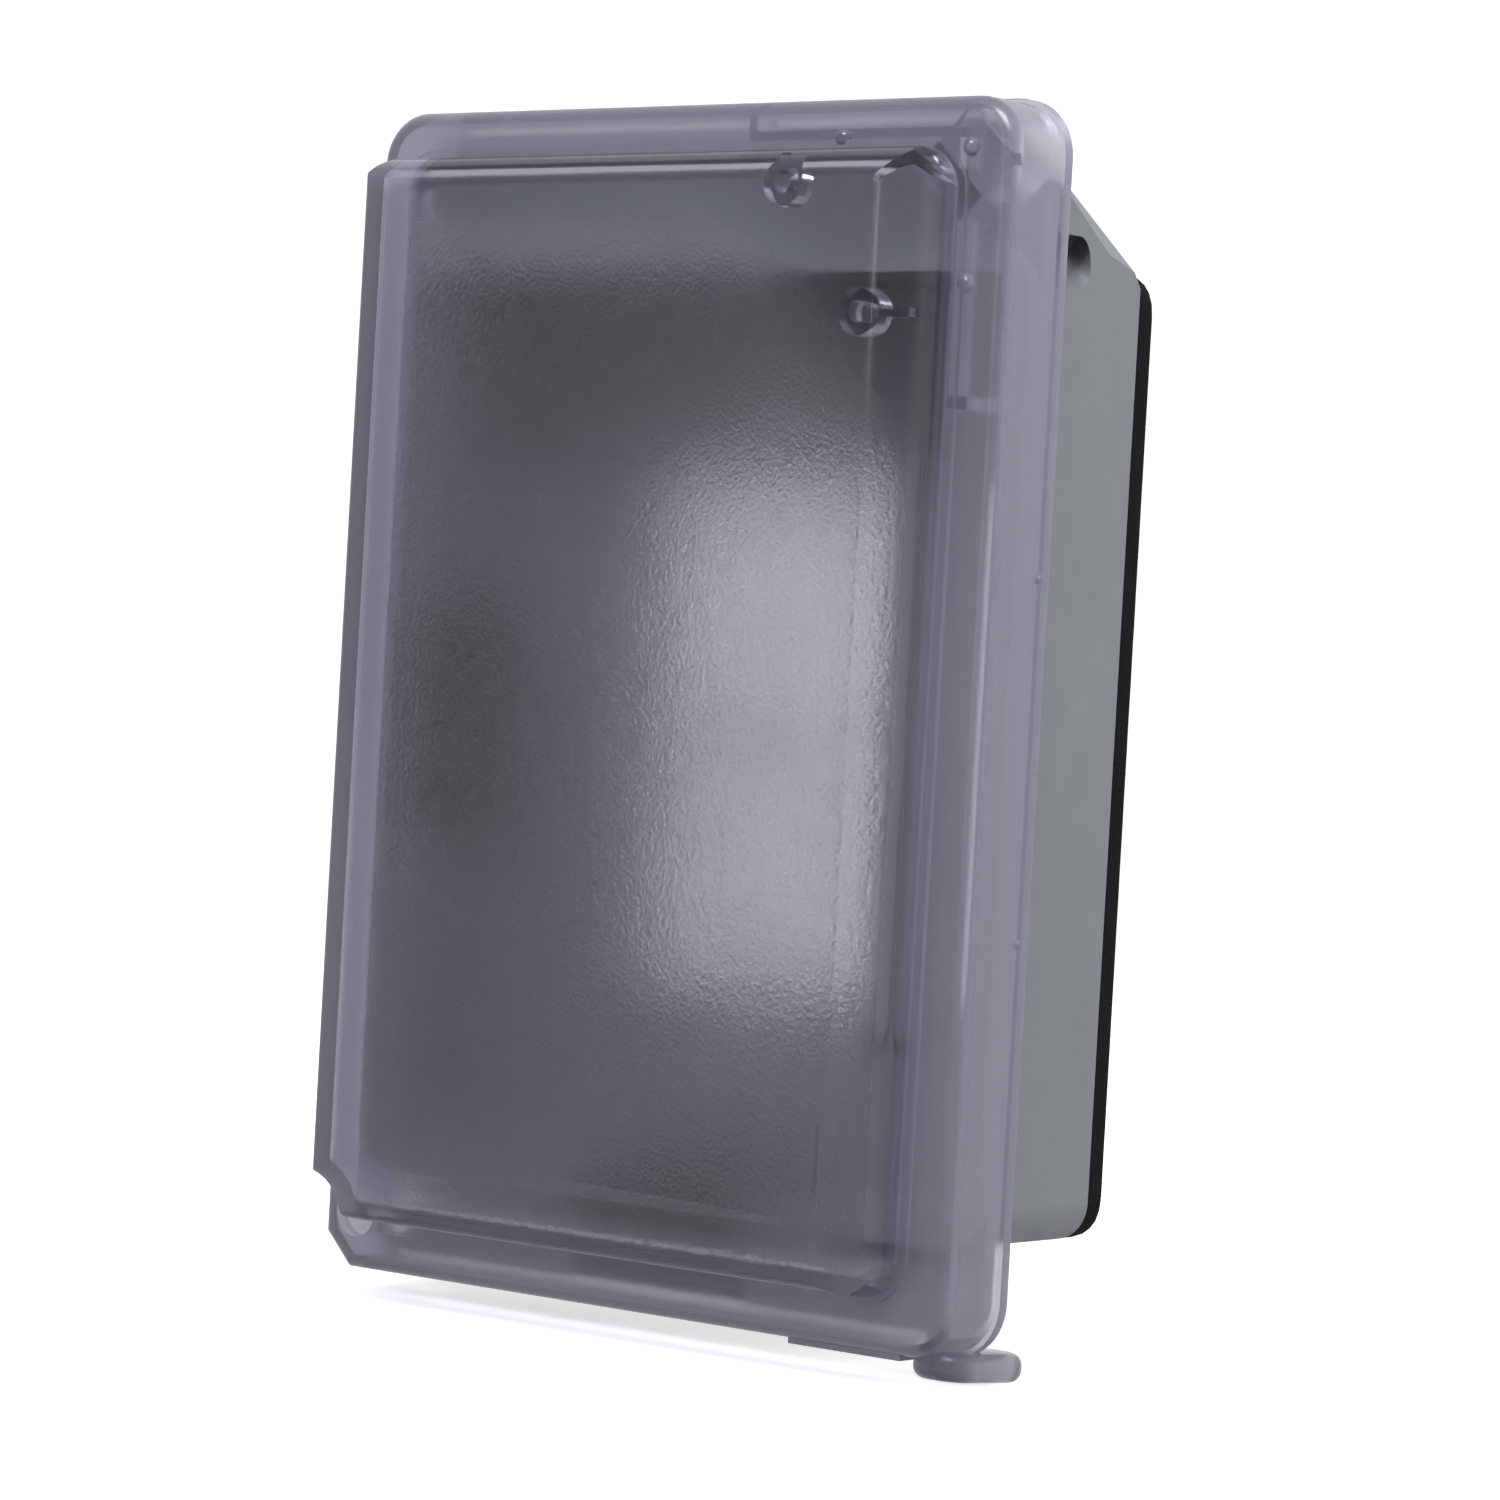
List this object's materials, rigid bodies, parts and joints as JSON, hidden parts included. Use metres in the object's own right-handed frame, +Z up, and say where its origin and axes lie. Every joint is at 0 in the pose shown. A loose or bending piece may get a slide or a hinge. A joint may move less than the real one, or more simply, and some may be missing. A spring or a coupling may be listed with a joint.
{
  "type": "weatherproof gfci outlet with in-use cover",
  "caption": "Ground-fault receptacle behind a smoke-tinted, corner-hinged weatherproof in-use lid on a grey base with a foam wall gasket.",
  "frame": {"origin": "centre of the wall gasket's back face, on the finished wall plane, midway between the two box screws", "axes": "+X right as seen from the front, +Z up, +Y into the wall; the lid faces -Y"},
  "size_m": [0.1034, 0.0698, 0.1548],
  "materials": {
    "smoky_lid": "smoke-tinted clear polycarbonate, glossy, frosted window",
    "grey_base": "grey moulded polycarbonate, fine matt grain",
    "black_foam": "closed-cell foam gasket",
    "black_rubber": "soft moulded rubber, matt",
    "grey_insert": "grey moulded thermoplastic",
    "stainless": "stainless steel",
    "zinc_steel": "zinc-plated sheet steel",
    "device_face": "white receptacle face, satin gloss",
    "device_body": "dark thermoplastic housing",
    "light_button": "light grey button, fine matt grain",
    "white_nylon": "natural nylon moulding",
    "lens": "green tinted lens",
    "brass": "brass strip",
    "nickel_screw": "nickel-plated screws",
    "brass_screw": "brass-plated screws",
    "green_screw": "green ground screw",
    "board": "green circuit board",
    "components": "black electronic parts",
    "copper": "enamelled copper wire",
    "spring_steel": "spring steel"
  },
  "bodies": {
    "housing": {"wall_gasket": "black_foam", "cover_base": "grey_base", "left_cord_seal": "black_rubber", "bottom_cord_seal": "black_rubber", "insert_plate": "grey_insert", "box_screws": "stainless", "hinge_pin": "stainless", "mounting_strap": "zinc_steel", "face_housing": "device_face", "body_housing": "device_body", "housing_screws": "zinc_steel", "test_spring": "spring_steel", "reset_spring": "spring_steel", "contact_divider": "device_body", "works_frame": "white_nylon", "indicator_lens": "lens", "hot_contact": "brass", "neutral_contact": "brass", "ground_contact": "brass", "clamp_plates": "zinc_steel", "hot_terminal_screws": "brass_screw", "neutral_terminal_screws": "nickel_screw", "ground_screw": "green_screw", "circuit_board": "board", "board_parts": "components", "sensing_coil": "copper", "solenoid_bobbin": "white_nylon", "solenoid_winding": "copper"},
    "lid": {"lid": "smoky_lid"},
    "test_button": {"test_button": "light_button"},
    "reset_button": {"reset_button": "light_button", "reset_pin": "spring_steel"},
    "contact_carrier": {"contact_carrier": "white_nylon", "moving_contacts": "copper"},
    "upper_shutter": {"upper_shutter": "white_nylon"},
    "lower_shutter": {"lower_shutter": "white_nylon"},
    "plunger": {"solenoid_plunger": "spring_steel"},
    "trip_latch": {"trip_latch": "zinc_steel"}
  },
  "joints": [
    {"name": "lid_hinge", "type": "hinge", "parent": "housing", "child": "lid", "pos_m": [0.0406, -0.0165, 0.0676], "axis": [-0.7071, 0, 0.7071], "range_deg": [0, 100]},
    {"name": "test_button_press", "type": "slide", "parent": "housing", "child": "test_button", "axis": [0, 1, 0], "range_m": [0, 0.0012], "stiffness_N_per_m": 600},
    {"name": "reset_button_travel", "type": "slide", "parent": "housing", "child": "reset_button", "axis": [0, 1, 0], "range_m": [-0.0012, 0]},
    {"name": "contact_carrier_lift", "type": "slide", "parent": "housing", "child": "contact_carrier", "axis": [0, 1, 0], "range_m": [0, 0.001]},
    {"name": "upper_shutter_slide", "type": "slide", "parent": "housing", "child": "upper_shutter", "axis": [1, 0, 0], "range_m": [0, 0.0032]},
    {"name": "lower_shutter_slide", "type": "slide", "parent": "housing", "child": "lower_shutter", "axis": [1, 0, 0], "range_m": [0, 0.0032]},
    {"name": "plunger_stroke", "type": "slide", "parent": "housing", "child": "plunger", "axis": [0, 0, 1], "range_m": [0, 0.0015]},
    {"name": "trip_latch_slide", "type": "slide", "parent": "housing", "child": "trip_latch", "axis": [0, 0, 1], "range_m": [0, 0.0015]}
  ],
  "couplings": [
    {"joint": "contact_carrier_lift", "follows": "reset_button_travel", "ratio": -0.8333},
    {"joint": "trip_latch_slide", "follows": "plunger_stroke", "ratio": 1}
  ]
}
